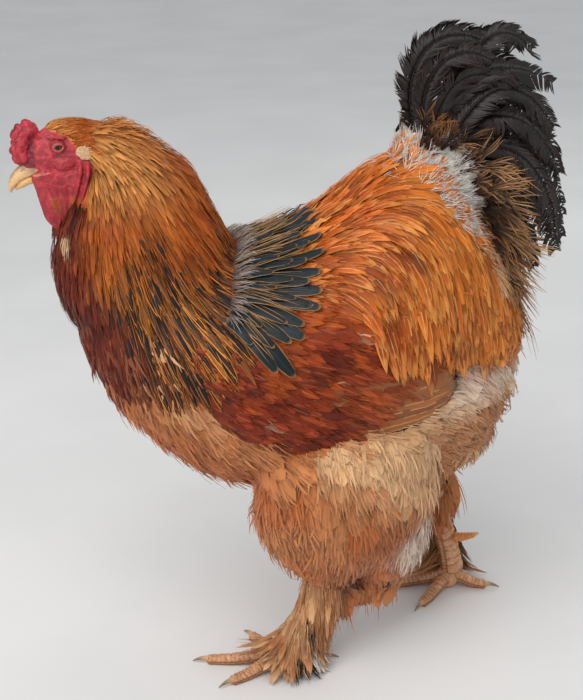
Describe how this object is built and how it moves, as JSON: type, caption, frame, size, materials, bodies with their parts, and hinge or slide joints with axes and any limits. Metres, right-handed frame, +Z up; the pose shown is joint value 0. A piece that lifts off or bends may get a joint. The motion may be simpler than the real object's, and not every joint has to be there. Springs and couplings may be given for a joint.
{
  "type": "standing rooster model",
  "caption": "Life-size still model of a standing buff Brahma cock: pea comb, full hackle and saddle, folded wings, arched tail and feathered feet.",
  "frame": {"origin": "on the floor, under the middle of the bird's bounding box", "axes": "+Z up, -X the way the bird faces, -Y its left side"},
  "size_m": [0.6131, 0.2889, 0.7221],
  "materials": {
    "buff_feather": "soft feathers, matt",
    "gold_feather": "silky feathers, satin",
    "black_feather": "glossy feathers",
    "red_skin": "matt, wrinkled",
    "beak_horn": "satin horn",
    "toe_scale": "scaly, satin",
    "eye_wet": "wet gloss"
  },
  "bodies": {
    "root": {"torso": "buff_feather", "neck": "gold_feather", "head": "gold_feather", "comb": "red_skin", "wattle_left": "red_skin", "wattle_right": "red_skin", "lobe_left": "red_skin", "lobe_right": "red_skin", "beak_upper": "beak_horn", "beak_lower": "beak_horn", "eye_left": "eye_wet", "eye_right": "eye_wet", "wing_left": "gold_feather", "wing_right": "gold_feather", "tail": "black_feather", "thigh_left": "buff_feather", "thigh_right": "buff_feather", "shank_left": "buff_feather", "shank_right": "buff_feather", "spur_left": "beak_horn", "spur_right": "beak_horn", "foot_left": "toe_scale", "foot_right": "toe_scale", "claw_left_middle": "beak_horn", "claw_left_inner": "beak_horn", "claw_left_outer": "beak_horn", "claw_left_hind": "beak_horn", "claw_right_middle": "beak_horn", "claw_right_inner": "beak_horn", "claw_right_outer": "beak_horn", "claw_right_hind": "beak_horn"}
  },
  "joints": []
}
